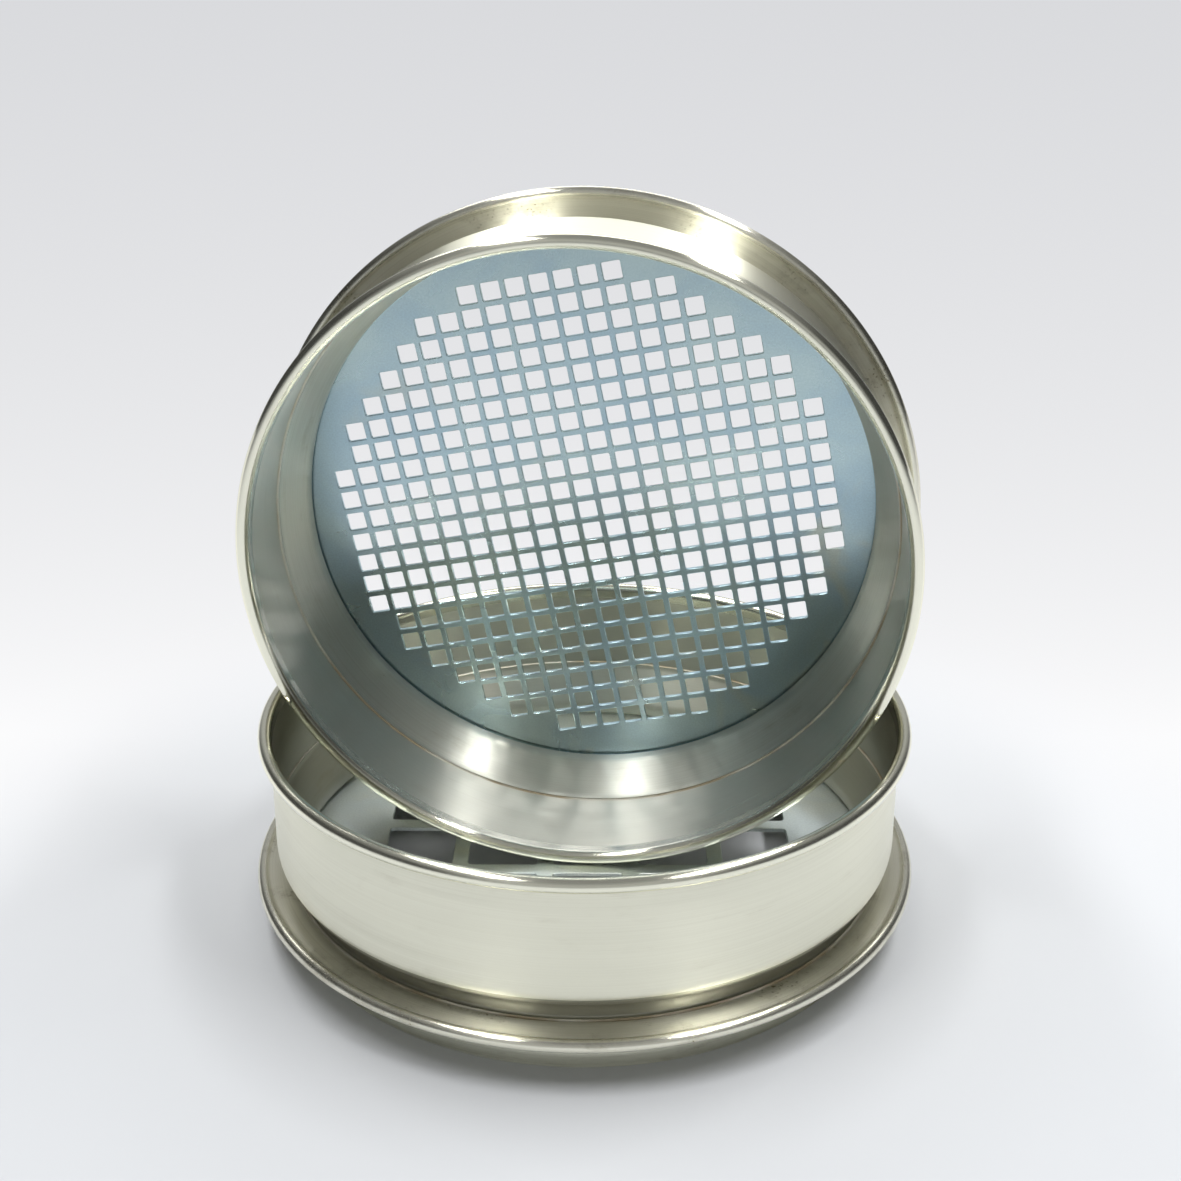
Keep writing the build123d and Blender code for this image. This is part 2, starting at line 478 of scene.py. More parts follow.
@dataclass(frozen=True)
class BlueZinc:
    """Zinc-plated and blue-passivated punched steel: cloudy blue-green, with straw stains.

    Attributes:
        name: Name of the material.
        blue: Colour of the deeper blue clouds.
        green: Colour of the paler grey-green clouds.
        straw: Colour of the faint yellow stains of the passivation.
        roughness: Blur of its mirror image.
        cloud: Size of the clouds.
    """

    name: str
    blue: str
    green: str
    straw: str
    roughness: float
    cloud: float = 60 * MM

    STAIN = 1.25                # size of a stain, in clouds
    CLOUD_EDGE = (0.32, 0.68)
    STAIN_EDGE = (0.56, 0.74)
    STAIN_DEPTH = 0.5
    CRYSTAL = 0.9 * MM          # spangle of the plating, drawn coarser than real
    CRYSTAL_RELIEF = 0.012 * MM
    SPARKLE = (0.93, 1.05)      # how dark and how light the crystals are
    BLUR_SPREAD = (-0.05, 0.07)

    def material(self, stance: Matrix) -> Material:
        """Makes the material.

        Args:
            stance: Place of the sieve whose plate gets it.

        Returns:
            The material.
        """
        made, tree = start_material(self.name)
        own = own_coordinates(tree, stance)
        clouds = noise(tree, own, self.cloud, 4.0, Roughness=0.55, Distortion=0.6)
        stains = noise(tree, own, self.cloud * self.STAIN, 3.0, Distortion=1.5)
        crystals = noise(tree, own, self.CRYSTAL, 2.0)
        base = mix_colours(tree, ramp(tree, clouds, *self.CLOUD_EDGE), linear(self.green),
                           linear(self.blue))
        stained = ramp(tree, stains, *self.STAIN_EDGE, end=self.STAIN_DEPTH)
        tinted = mix_colours(tree, stained, base, linear(self.straw))
        sparkle = ramp(tree, crystals, 0.3, 0.7, *self.SPARKLE, smooth=False)
        colour = add_node(tree, "ShaderNodeVectorMath", {0: tinted, "Scale": sparkle},
                          operation="SCALE").outputs[0]
        low, high = (self.roughness + spread for spread in self.BLUR_SPREAD)
        surface_metal(tree, {"Base Color": colour,
                             "Roughness": ramp(tree, clouds, 0.25, 0.75, low, high, smooth=False),
                             "Normal": bumped(tree, crystals, self.CRYSTAL_RELIEF)})
        return made


@dataclass(frozen=True)
class SoftSolder:
    """Tin solder run along a seam: dull, lumpy and a little browned by the flux.

    Attributes:
        name: Name of the material.
        tin: Colour of the tin.
        flux: Colour of the burnt flux.
    """

    name: str
    tin: str
    flux: str

    LUMP = 2.5 * MM
    LUMP_RELIEF = 0.15 * MM
    PATCH = 35 * MM
    PATCH_EDGE = (0.38, 0.6)
    ROUGHNESS = 0.5

    def material(self, stance: Matrix) -> Material:
        """Makes the material.

        Args:
            stance: Place of the sieve whose seams get it.

        Returns:
            The material.
        """
        made, tree = start_material(self.name)
        own = own_coordinates(tree, stance)
        burnt = ramp(tree, noise(tree, own, self.PATCH, 4.0), *self.PATCH_EDGE)
        lumps = noise(tree, own, self.LUMP, 3.0)
        surface_metal(tree, {"Base Color": mix_colours(tree, burnt, linear(self.tin),
                                                       linear(self.flux)),
                             "Roughness": self.ROUGHNESS,
                             "Normal": bumped(tree, lumps, self.LUMP_RELIEF)})
        return made


# ---------------------------------------------------------------- rings of spun sheet

class Turn(Enum):
    """Which way a strip bends."""

    LEFT = 1
    RIGHT = -1


@dataclass
class Strip:
    """A strip of sheet in the radius-height plane, grown along its middle line.

    Attributes:
        at: Where the middle line ends so far, as radius and height.
        heading: Direction that it grows in, in degrees from outwards.
        gauge: Thickness of the sheet.
        left: Outline on the left of the middle line so far.
        right: Outline on the right.
    """

    at: Vector
    heading: float
    gauge: float
    left: list[Vector] = field(default_factory=list)
    right: list[Vector] = field(default_factory=list)

    ARC_STEP = 6.0              # degrees between points of a bend
    GUARD = 0.4 * MM            # points this close to each end keep a straight run flat

    def __post_init__(self) -> None:
        """Starts both outlines."""
        self.mark()

    def mark(self) -> None:
        """Adds a point to both outlines."""
        side = step(self.heading + 90, self.gauge / 2)
        self.left.append(self.at + side)
        self.right.append(self.at - side)

    def run(self, length: float) -> "Strip":
        """Goes straight on.

        Args:
            length: How far.

        Returns:
            The strip itself.
        """
        guards = [self.GUARD, length - 2 * self.GUARD, self.GUARD]
        for part in guards if length > 4 * self.GUARD else [length]:
            self.at = self.at + step(self.heading, part)
            self.mark()
        return self

    def bend(self, radius: float, degrees: float, turn: Turn) -> "Strip":
        """Bends about a centre on its left or right.

        Args:
            radius: From the centre to the middle line.
            degrees: How far it bends.
            turn: Which way.

        Returns:
            The strip itself.
        """
        inward = 90 * turn.value
        centre = self.at + step(self.heading + inward, radius)
        count = max(2, math.ceil(degrees / self.ARC_STEP))
        for _ in range(count):
            self.heading += turn.value * degrees / count
            self.at = centre - step(self.heading + inward, radius)
            self.mark()
        return self

    def jog(self, first: float, second: float, degrees: float, shift: float) -> "Strip":
        """Draws in to the right, between two opposite bends.

        Args:
            first: Radius of the first bend.
            second: Radius of the second bend.
            degrees: How far each bends.
            shift: How far it draws in.

        Returns:
            The strip itself.
        """
        between = jog_run(first + second, degrees, shift)
        self.bend(first, degrees, Turn.RIGHT).run(between)
        return self.bend(second, degrees, Turn.LEFT)

    def outline(self) -> list[Vector]:
        """The closed outline, once round."""
        return self.left + self.right[::-1]


def step(degrees: float, length: float) -> Vector:
    """A step in the radius-height plane."""
    angle = math.radians(degrees)
    return Vector((math.cos(angle) * length, math.sin(angle) * length))


def jog_run(bends: float, degrees: float, shift: float) -> float:
    """Straight between two opposite bends whose radii add up to bends."""
    angle = math.radians(degrees)
    return (shift - bends * (1 - math.cos(angle))) / math.sin(angle)


def jog_drop(bends: float, degrees: float, shift: float) -> float:
    """How far forward such a pair of bends goes."""
    angle = math.radians(degrees)
    return bends * math.sin(angle) + jog_run(bends, degrees, shift) * math.cos(angle)


def jog_turn(bends: float, drop: float, shift: float) -> float:
    """Degrees of such a pair of bends that goes forward by drop and sideways by shift."""
    slant = math.atan2(shift - bends, drop)
    return math.degrees(slant + math.asin(bends / math.hypot(drop, shift - bends)))


def spin_tree(name: str = "spin_on_lathe") -> NodeTree:
    """Makes the tree that turns an outline about the axis into a closed ring.

    Args:
        name: Name of the tree.

    Returns:
        The tree, with the number of segments and of points and the material as inputs.
    """
    tree = new_tree(name, {"Segments": "NodeSocketInt", "Points": "NodeSocketInt",
                           "Material": "NodeSocketMaterial"})
    given = add_node(tree, "NodeGroupInput").outputs
    rows = calc(tree, "ADD", given["Points"], 1.0)
    grid = add_node(tree, "GeometryNodeMeshGrid",
                    {"Vertices X": calc(tree, "ADD", given["Segments"], 1.0),
                     "Vertices Y": rows}).outputs
    index = add_node(tree, "GeometryNodeInputIndex").outputs[0]
    column = calc(tree, "FLOOR", calc(tree, "DIVIDE", index, rows))
    point = calc(tree, "MODULO", calc(tree, "MODULO", index, rows), given["Points"])
    angle = calc(tree, "MULTIPLY", calc(tree, "DIVIDE", column, given["Segments"]), math.tau)
    position = add_node(tree, "GeometryNodeInputPosition").outputs[0]
    length = add_node(tree, "GeometryNodeInputNamedAttribute", {"Name": "along"},
                      data_type="FLOAT").outputs[0]
    at, along = (add_node(tree, "GeometryNodeSampleIndex",
                          {"Geometry": given["Geometry"], "Value": value, "Index": point},
                          data_type=kind, domain="POINT").outputs[0]
                 for value, kind in ((position, "FLOAT_VECTOR"), (length, "FLOAT")))
    spun = add_node(tree, "ShaderNodeVectorRotate", {"Vector": at, "Angle": angle},
                    rotation_type="Z_AXIS").outputs[0]
    made = add_node(tree, "GeometryNodeSetPosition",
                    {"Geometry": grid["Mesh"], "Position": spun}).outputs[0]
    made = add_node(tree, "GeometryNodeStoreNamedAttribute",
                    {"Geometry": made, "Name": "UVMap", "Value": grid["UV Map"]},
                    data_type="FLOAT2", domain="CORNER").outputs[0]
    made = add_node(tree, "GeometryNodeStoreNamedAttribute",
                    {"Geometry": made, "Name": "along", "Value": along},
                    data_type="FLOAT", domain="POINT").outputs[0]
    close_up(tree, made, given["Material"], 0.001 * MM)
    return tree


def close_up(tree: NodeTree, geometry: NodeSocket, material: NodeSocket, reach: float) -> None:
    """Ends a Geometry Nodes tree: one mesh, points that meet welded, and a material.

    Args:
        tree: Tree that gets the nodes.
        geometry: What the tree has made.
        material: Its material.
        reach: Distance within which points are welded.
    """
    real = add_node(tree, "GeometryNodeRealizeInstances", {"Geometry": geometry}).outputs[0]
    closed = add_node(tree, "GeometryNodeMergeByDistance",
                      {"Geometry": real, "Distance": reach}).outputs[0]
    unshaded_face_or_dressed_mesh = add_node(tree, "GeometryNodeSetMaterial",
                       {"Geometry": closed, "Material": material}).outputs[0]
    add_node(tree, "NodeGroupOutput", {"Geometry": unshaded_face_or_dressed_mesh})


# ---------------------------------------------------------------- punched plates

@dataclass(frozen=True)
class Punching:
    """Square holes on a square grid.

    Attributes:
        hole: Width of a hole.
        pitch: Spacing of the grid.
        corner: Corner radius of a hole.
        margin: Bare margin from the flange's inner edge to the outermost hole centres.
        turn: How far the grid is turned, in degrees.
        shift: Where the grid's middle is.
        edge: Width of the rounded-over edge that the punch leaves round each hole.
    """

    hole: float
    pitch: float
    corner: float
    margin: float
    turn: float
    shift: tuple[float, float]
    edge: float = 0.3 * MM

    CORNER_POINTS = 3

    def loop(self, grow: float, height: float) -> list[Vector]:
        """Lays points once round a hole.

        Args:
            grow: How much larger than the hole, on every side.
            height: Height of the points.

        Returns:
            The points, the same number for every hole.
        """
        half, radius = self.hole / 2 + grow, self.corner + grow
        points = []
        for quarter in range(4):
            across = Vector((half - radius, half - radius))
            for part in range(self.CORNER_POINTS):
                angle = math.pi / 2 * part / (self.CORNER_POINTS - 1)
                corner = across + Vector((math.cos(angle), math.sin(angle))) * radius
                corner.rotate(Matrix.Rotation(quarter * math.pi / 2, 2))
                points.append(Vector((corner.x, corner.y, height)))
        return points

    def cell(self, top: float, bottom: float) -> Mesh:
        """Makes one grid cell of plate round one hole.

        Args:
            top: Height of the plate's upper face.
            bottom: Height of its lower face.

        Returns:
            The cell's mesh, open where it meets its neighbours.
        """
        shape = bmesh.new()
        rings = [self.loop(self.edge, top), self.loop(0, top - self.edge),
                 self.loop(0, bottom + self.edge / 2), self.loop(self.edge / 2, bottom)]
        rings = [[shape.verts.new(point) for point in ring] for ring in rings]
        for upper, lower in zip(rings, rings[1:]):
            for i, start in enumerate(upper):
                after = (i + 1) % len(upper)
                shape.faces.new((start, upper[after], lower[after], lower[i]))
        half = self.pitch / 2
        for ring, height, outward in ((rings[0], top, 1), (rings[-1], bottom, -1)):
            corners = [shape.verts.new((x * half, y * half, height))
                       for x, y in ((1, 1), (-1, 1), (-1, -1), (1, -1))]
            for side in range(4):
                first = side * self.CORNER_POINTS + self.CORNER_POINTS // 2
                rim = [ring[(first + i) % len(ring)] for i in range(self.CORNER_POINTS + 1)]
                face = [corners[side], corners[(side + 1) % 4]] + rim[::-1]
                shape.faces.new(face[::outward])
        mesh = bpy.data.meshes.new("plate_cell")
        shape.to_mesh(mesh)
        shape.free()
        return mesh


def punch_tree(name: str = "punch_plate") -> NodeTree:
    """Makes the tree that repeats a plate cell on a grid and fills the plate round it.

    Args:
        name: Name of the tree.

    Returns:
        The tree, with the plate's and the grid's sizes and the material as inputs.
    """
    tree = new_tree(name, {
        "Cells": "NodeSocketInt", "Pitch": "NodeSocketFloat", "Reach": "NodeSocketFloat",
        "Turn": "NodeSocketFloat", "Shift": "NodeSocketVector", "Radius": "NodeSocketFloat",
        "Top": "NodeSocketFloat", "Bottom": "NodeSocketFloat", "Material": "NodeSocketMaterial"})
    given = add_node(tree, "NodeGroupInput").outputs
    width = calc(tree, "MULTIPLY", given["Cells"], given["Pitch"])
    count = calc(tree, "ADD", given["Cells"], 1.0)
    grid = add_node(tree, "GeometryNodeMeshGrid",
                    {"Size X": width, "Size Y": width, "Vertices X": count,
                     "Vertices Y": count}).outputs["Mesh"]
    position = add_node(tree, "GeometryNodeInputPosition").outputs[0]
    outside = add_node(tree, "FunctionNodeCompare",
                       {0: length_of(tree, position), 1: given["Reach"]},
                       data_type="FLOAT", operation="GREATER_THAN").outputs[0]
    kept = add_node(tree, "GeometryNodeDeleteGeometry",
                    {"Geometry": grid, "Selection": outside}, domain="FACE").outputs[0]
    turn = lifted(tree, given["Turn"])
    placed = add_node(tree, "GeometryNodeTransform",
                      {"Geometry": kept, "Translation": given["Shift"],
                       "Rotation": turn}).outputs[0]
    centres = add_node(tree, "GeometryNodeMeshToPoints", {"Mesh": placed},
                       mode="FACES").outputs[0]
    cells = add_node(tree, "GeometryNodeInstanceOnPoints",
                     {"Points": centres, "Instance": given["Geometry"],
                      "Rotation": turn}).outputs[0]
    neighbours = add_node(tree, "GeometryNodeInputMeshEdgeNeighbors").outputs[0]
    at_edge = add_node(tree, "FunctionNodeCompare", {2: neighbours, 3: 1},
                       data_type="INT", operation="EQUAL").outputs[0]
    steps = add_node(tree, "GeometryNodeMeshToCurve",
                     {"Mesh": placed, "Selection": at_edge}).outputs[0]
    disc = add_node(tree, "GeometryNodeCurvePrimitiveCircle",
                    {"Resolution": PLATE_SEGMENTS, "Radius": given["Radius"]}).outputs[0]
    border = add_node(tree, "GeometryNodeFillCurve",
                      {"Curve": joined(tree, disc, steps)}).outputs[0]
    top, bottom = (add_node(tree, "GeometryNodeTransform",
                            {"Geometry": border, "Translation": lifted(tree, given[height])}
                            ).outputs[0] for height in ("Top", "Bottom"))
    bottom = add_node(tree, "GeometryNodeFlipFaces", {"Mesh": bottom}).outputs[0]
    circle = add_node(tree, "GeometryNodeCurveToMesh", {"Curve": disc}).outputs[0]
    raised = add_node(tree, "GeometryNodeTransform",
                      {"Geometry": circle, "Translation": lifted(tree, given["Top"])}).outputs[0]
    down = lifted(tree, calc(tree, "SUBTRACT", given["Bottom"], given["Top"]))
    rim = add_node(tree, "GeometryNodeExtrudeMesh", {"Mesh": raised, "Offset": down},
                   mode="EDGES").outputs[0]
    close_up(tree, joined(tree, cells, top, bottom, rim), given["Material"], 0.01 * MM)
    return tree


def lifted(tree: NodeTree, height: NodeSocket) -> NodeSocket:
    """Vector that points up by height."""
    return add_node(tree, "ShaderNodeCombineXYZ", {"Z": height}).outputs[0]


def joined(tree: NodeTree, *pieces: NodeSocket) -> NodeSocket:
    """Joins geometry.

    Args:
        tree: Tree that gets the node.
        *pieces: What is joined, in the order of linking.

    Returns:
        The joined geometry's socket.
    """
    node = add_node(tree, "GeometryNodeJoinGeometry")
    for piece in pieces:
        tree.links.new(piece, node.inputs[0])
    return node.outputs[0]


# ---------------------------------------------------------------- a sieve

@dataclass(frozen=True)
class Finishes:
    """The finish of each kind of piece of one sieve."""

    wall: TurnedSteel
    band: TurnedSteel
    flange: TurnedSteel
    skirt: TurnedSteel
    wire: TurnedSteel
    plate: BlueZinc
    solder: SoftSolder


@dataclass
class Sieve:
    """One sieve: every piece of it, built in its own frame and then stood in its place.

    Attributes:
        name: Prefix of its pieces' names.
        body: Body that it rides on.
        punching: Its hole pattern.
        finishes: How its pieces are finished.
        slots: Material slot of each CAD node; not used.

    The sizes after those are the ones that the CAD has under the same names.
    """

    name: str
    body: str
    punching: Punching
    finishes: Finishes
    slots: dict[str, str]

    bore: float = 300 * MM
    height: float = 98 * MM
    gauge: float = 0.9 * MM
    rim_wire: float = 4.8 * MM
    rim_sweep: float = 285.0
    flange_wire: float = 4.0 * MM
    flange_sweep: float = 270.0
    wire_play: float = 0.1 * MM
    neck_depth: float = 9.3 * MM
    neck_bend: float = 8.0 * MM
    neck_turn: float = 60.0
    neck_band: float = 2.0 * MM
    hem_bend: float = 1.3 * MM
    hem_width: float = 0.6 * MM
    seat_height: float = 22.5 * MM
    lip_setback: float = 0.8 * MM
    lip_width: float = 3.0 * MM
    flange_run: float = 9.9 * MM
    flange_slope: float = 6.0
    flange_lift: float = 30.0
    flange_bend: float = 4.0 * MM
    band_top: float = 50.0 * MM
    band_seam: float = 0.3 * MM
    band_play: float = 0.1 * MM
    band_foot: float = 1.4 * MM
    plate_thickness: float = 2.0 * MM
    plate_under_lip: float = 1.8 * MM
    ledge_inner: float = 6.2 * MM
    skirt_play: float = 2.8 * MM
    skirt_bend: float = 2.2 * MM
    lead_in: float = 3.2 * MM
    lead_bend: float = 3.0 * MM
    lead_turn: float = 25.0
    foot_band: float = 0.8 * MM
    solder_leg: float = 0.8 * MM

    WIRE_STEP = 15              # degrees between points of a wire's section
    SOLDER_STEP = 15            # degrees between points of a fillet's face
    SMOOTH_BELOW = {"ring": 38, "plate": 20}   # edges bent less than this are shaded smoothly

    def __post_init__(self) -> None:
        """Works out what follows from the sizes."""
        self.half = self.gauge / 2
        self.wall_in = self.bore / 2
        self.rim_roll = self.rim_wire / 2 + self.half
        self.flange_roll = self.flange_wire / 2 + self.half
        self.rim_centre = Vector((self.wall_in + self.half + self.rim_roll,
                                  self.height - self.half - self.rim_roll))
        self.neck_in = self.wall_in - self.neck_depth
        self.hem_start = self.seat_height + self.half + self.hem_bend
        self.lip_in = self.neck_in + self.lip_setback
        self.plate_top = self.seat_height - self.gauge
        self.plate_bottom = self.plate_top - self.plate_thickness
        self.plate_radius = self.lip_in + self.plate_under_lip
        edge = self.flange_strip()
        self.flange_centre = edge.at + step(edge.heading - 90, self.flange_roll)
        self.stance = Stance.read(self.name, (self.flange_centre.y, self.rim_centre.y)).matrix()

    def wall_strip(self) -> Strip:
        """Wall with its rolled rim, its drawn-in neck and its hem."""
        first = 180 - self.rim_sweep
        neck = jog_drop(2 * self.neck_bend, self.neck_turn, self.neck_depth)
        strip = Strip(self.rim_centre + step(first, self.rim_roll), first + 90, self.gauge)
        strip.bend(self.rim_roll, self.rim_sweep, Turn.LEFT)
        strip.run(self.rim_centre.y - self.hem_start - self.neck_band - neck)
        strip.jog(self.neck_bend, self.neck_bend, self.neck_turn, self.neck_depth)
        return strip.run(self.neck_band).bend(self.hem_bend, 90, Turn.LEFT).run(self.hem_width)

    def band_strip(self) -> Strip:
        """Retaining band, which slopes from its soldered top edge down to the plate."""
        inset = self.gauge + self.band_play
        drop = self.band_top - self.band_seam - self.hem_start - self.neck_band
        turn = jog_turn(2 * self.neck_bend, drop, self.neck_depth)
        strip = Strip(Vector((self.wall_in + self.half - inset, self.band_top)), -90, self.gauge)
        strip.run(self.band_seam)
        strip.jog(self.neck_bend - inset, self.neck_bend + inset, turn, self.neck_depth)
        return strip.run(self.hem_start + self.neck_band - self.plate_top - self.band_foot)

    def flange_strip(self) -> Strip:
        """Flange up to where it meets its wire."""
        strip = Strip(Vector((self.lip_in, self.seat_height - self.half)), 0, self.gauge)
        strip.run(self.lip_width).bend(self.flange_bend, self.flange_slope, Turn.LEFT)
        return strip.run(self.flange_run).bend(self.flange_bend, self.flange_lift, Turn.LEFT)

    def skirt_strip(self) -> Strip:
        """Ledge under the plate, the skirt and its drawn-in foot."""
        start = self.plate_radius - self.ledge_inner
        lead = jog_drop(2 * self.lead_bend, self.lead_turn, self.lead_in)
        middle = self.wall_in - self.skirt_play - self.half
        strip = Strip(Vector((start, self.plate_bottom - self.half)), 0, self.gauge)
        strip.run(middle - self.skirt_bend - start).bend(self.skirt_bend, 90, Turn.RIGHT)
        strip.run(strip.at.y - lead - self.foot_band)
        return strip.jog(self.lead_bend, self.lead_bend, self.lead_turn,
                         self.lead_in).run(self.foot_band)

    def wire_outline(self, centre: Vector, diameter: float) -> list[Vector]:
        """Round section of a wire."""
        return [centre + step(-degrees, diameter / 2 - self.wire_play)
                for degrees in range(0, 360, self.WIRE_STEP)]

    def solder_outline(self, radius: float, height: float, outward: int) -> list[Vector]:
        """Draws a hollow-faced fillet of solder in a corner.

        Args:
            radius: Radius of the corner.
            height: Height of the corner.
            outward: 1 where the fillet is outside the corner, -1 where it is inside.

        Returns:
            The closed outline, once round.
        """
        corner, points = Vector((radius, height)), []
        for degrees in range(0, 91, self.SOLDER_STEP):
            sag = step(degrees, self.solder_leg)
            points.append(corner + Vector(((self.solder_leg - sag.y) * outward,
                                           self.solder_leg - sag.x)))
        points.append(corner)
        return points[::-outward]

    def ring(self, piece: str, outline: list[Vector], finish: Material,
             spin: NodeTree) -> Object:
        """Spins an outline into a ring that stands for its CAD node.

        Args:
            piece: Name of the piece, without the sieve's prefix.
            outline: Closed outline in the radius-height plane.
            finish: Its material.
            spin: Tree that does the spinning.

        Returns:
            The finished piece.
        """
        base = bpy.data.meshes.new(piece + "_outline")
        base.from_pydata([(point.x, 0, point.y) for point in outline], [], [])
        along, lengths = 0.0, []
        for point, after in zip(outline, outline[1:] + outline[:1]):
            lengths.append(along)
            along += (after - point).length
        base.attributes.new("along", "FLOAT", "POINT").data.foreach_set("value", lengths)
        mesh = run_tree(f"{self.name}_{piece}_spun", base, spin,
                        {"Segments": RING_SEGMENTS, "Points": len(outline), "Material": finish})
        return self.stand(piece, mesh, self.SMOOTH_BELOW["ring"])

    def plate(self, finish: Material, punch: NodeTree) -> Object:
        """Punches the plate, which stands for its CAD node.

        Args:
            finish: Its material.
            punch: Tree that does the punching.

        Returns:
            The finished piece.
        """
        holes = self.punching
        reach = self.lip_in - holes.margin
        cells = 2 * math.ceil(reach / holes.pitch) + 1
        mesh = run_tree(f"{self.name}_punched", holes.cell(self.plate_top, self.plate_bottom),
                        punch, {"Cells": cells, "Pitch": holes.pitch, "Reach": reach,
                                "Turn": math.radians(holes.turn), "Shift": (*holes.shift, 0.0),
                                "Radius": self.plate_radius, "Top": self.plate_top,
                                "Bottom": self.plate_bottom, "Material": finish})
        return self.stand("punched_plate", mesh, self.SMOOTH_BELOW["plate"])

    def stand(self, piece: str, mesh: Mesh, smooth: float) -> Object:
        """Puts a mesh in its place as the piece that replaces its CAD node.

        Args:
            piece: Name of the piece, without the sieve's prefix.
            mesh: Its mesh, in the sieve's own frame.
            smooth: Degrees of bend below which its edges are shaded smoothly.

        Returns:
            The piece, riding on the sieve's body.
        """
        face_outwards(mesh)
        mesh.transform(self.stance)
        mesh.shade_smooth()
        mesh.set_sharp_from_angle(angle=math.radians(smooth))
        node = f"{self.name}_{piece}"
        made = bpy.data.objects.new(node + "_skin", mesh)
        bpy.context.scene.collection.objects.link(made)
        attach(made, self.body)
        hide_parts(node)
        log.info("%s: %d faces", made.name, len(mesh.polygons))
        return made

    def build(self, spin: NodeTree, punch: NodeTree) -> None:
        """Makes every piece of the sieve.

        Args:
            spin: Tree that spins rings.
            punch: Tree that punches plates.
        """
        dress = {part.name: getattr(self.finishes, part.name).material(self.stance)
                 for part in fields(Finishes)}
        self.ring("wall_shell", self.wall_strip().outline(), dress["wall"], spin)
        self.ring("retaining_band", self.band_strip().outline(), dress["band"], spin)
        flange = self.flange_strip().bend(self.flange_roll, self.flange_sweep, Turn.RIGHT)
        self.ring("flange_ring", flange.outline(), dress["flange"], spin)
        self.ring("skirt_ring", self.skirt_strip().outline(), dress["skirt"], spin)
        self.ring("rim_wire", self.wire_outline(self.rim_centre, self.rim_wire),
                  dress["wire"], spin)
        self.ring("flange_wire", self.wire_outline(self.flange_centre, self.flange_wire),
                  dress["wire"], spin)
        hem_edge = self.neck_in + self.half + self.hem_bend + self.hem_width
        seams = {"band_solder": (self.wall_in, self.band_top, -1),
                 "flange_solder": (hem_edge, self.seat_height, 1),
                 "skirt_solder": (self.plate_radius, self.plate_bottom, 1)}
        for piece, corner in seams.items():
            self.ring(piece, self.solder_outline(*corner), dress["solder"], spin)
        self.plate(dress["plate"], punch)


def face_outwards(mesh: Mesh) -> None:
    """Recalculates the normals of a closed mesh."""
    shape = bmesh.new()
    shape.from_mesh(mesh)
    bmesh.ops.recalc_face_normals(shape, faces=shape.faces)
    shape.to_mesh(mesh)
    shape.free()


# ---------------------------------------------------------------- studio

@dataclass(frozen=True)
class Softbox:
    """A soft studio lamp.

    Attributes:
        name: Name of the lamp.
        place: Where its middle is.
        aim: Point that it faces.
        width: Its width, from left to right.
        depth: Its length, from front to back.
        watts: Its power.
    """

    name: str
    place: tuple[float, float, float]
    aim: tuple[float, float, float]
    width: float
    depth: float
    watts: float

    def hang(self) -> None:
        """Adds the lamp to the scene, unseen by the camera itself."""
        light = bpy.data.lights.new(self.name, "AREA")
        light.shape = "RECTANGLE"
        light.size, light.size_y = self.width, self.depth
        light.energy = self.watts
        lamp = bpy.data.objects.new(self.name, light)
        back = (Vector(self.place) - Vector(self.aim)).normalized()
        across = Vector((0, 1, 0)).cross(back).normalized()
        turned = Matrix((across, back.cross(across), back)).transposed()
        lamp.matrix_world = Matrix.Translation(self.place) @ turned.to_4x4()
        lamp.visible_camera = False
        bpy.context.scene.collection.objects.link(lamp)


